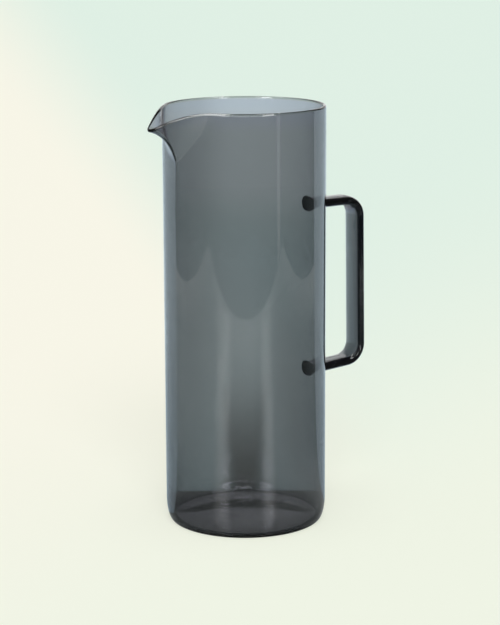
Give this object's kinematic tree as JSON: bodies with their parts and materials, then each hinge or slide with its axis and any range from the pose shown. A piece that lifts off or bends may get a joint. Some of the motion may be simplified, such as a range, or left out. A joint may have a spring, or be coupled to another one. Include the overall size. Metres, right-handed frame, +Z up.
{
  "type": "carafe",
  "caption": "Straight-sided smoke-grey glass carafe with a pulled pouring lip and an angular fused bar handle opposite it.",
  "frame": {"origin": "centre of the flat underside, on the vessel's axis", "axes": "+Z up along the vessel's axis to the mouth, +X towards the handle, the pouring lip at -X, +Y across"},
  "size_m": [0.1495, 0.095, 0.2476],
  "materials": {
    "vessel": "clear smoke-grey glass, fire polished",
    "handle": "clear smoke-grey glass bar, fire polished"
  },
  "bodies": {
    "root": {"vessel": "vessel", "handle": "handle"}
  },
  "joints": []
}
